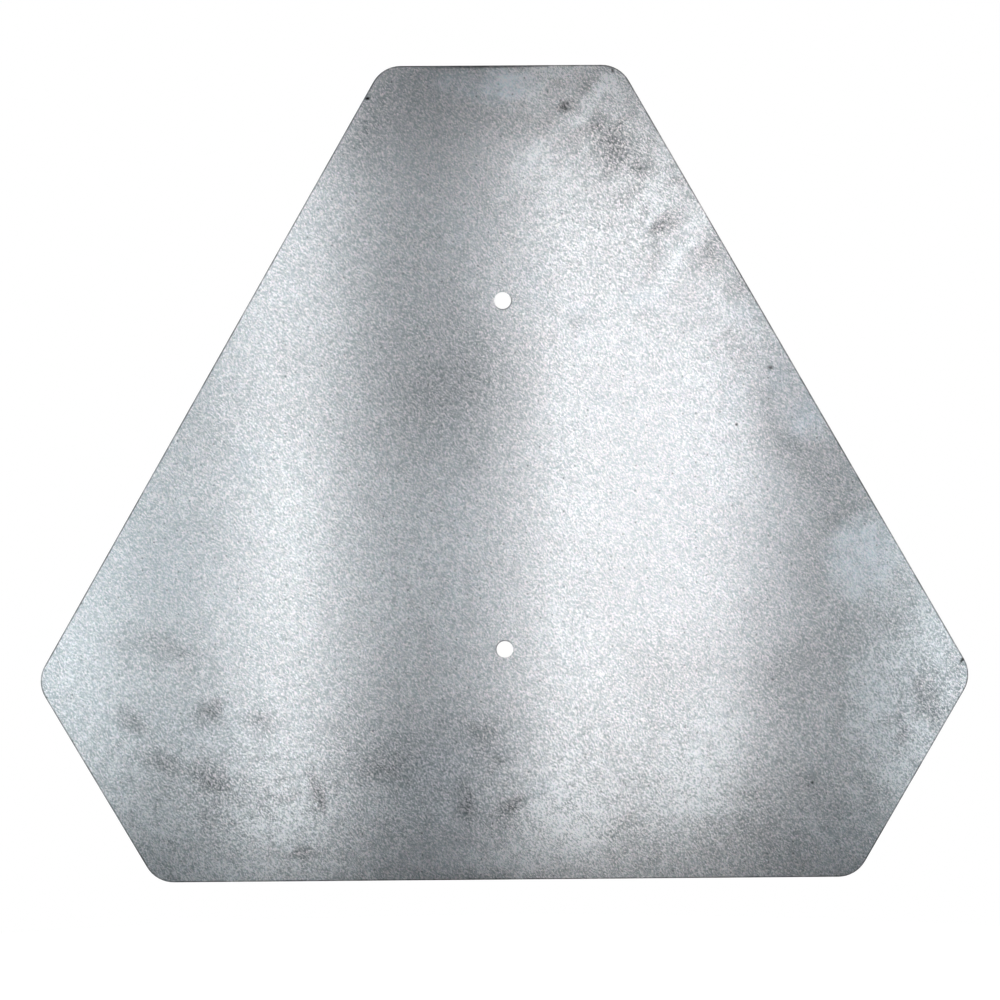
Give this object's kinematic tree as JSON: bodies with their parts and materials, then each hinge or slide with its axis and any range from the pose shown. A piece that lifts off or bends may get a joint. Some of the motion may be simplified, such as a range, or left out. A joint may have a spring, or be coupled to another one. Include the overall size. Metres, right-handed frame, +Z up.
{
  "type": "slow moving vehicle sign",
  "caption": "Flat sheet-steel sign plate in the shape of a triangle with cut-off, rounded corners, bare zinc-coated back and two holes on its centre line.",
  "frame": {"origin": "midway between the two mounting holes, on the bare back face", "axes": "+Z up, towards the short top edge; +Y out of the bare back, towards the bracket that the sign is bolted to; the emblem side faces -Y; +X along the width"},
  "size_m": [0.4064, 0.0008, 0.3556],
  "materials": {
    "galvanised_steel": "satin"
  },
  "bodies": {
    "root": {"sign_plate": "galvanised_steel"}
  },
  "joints": []
}
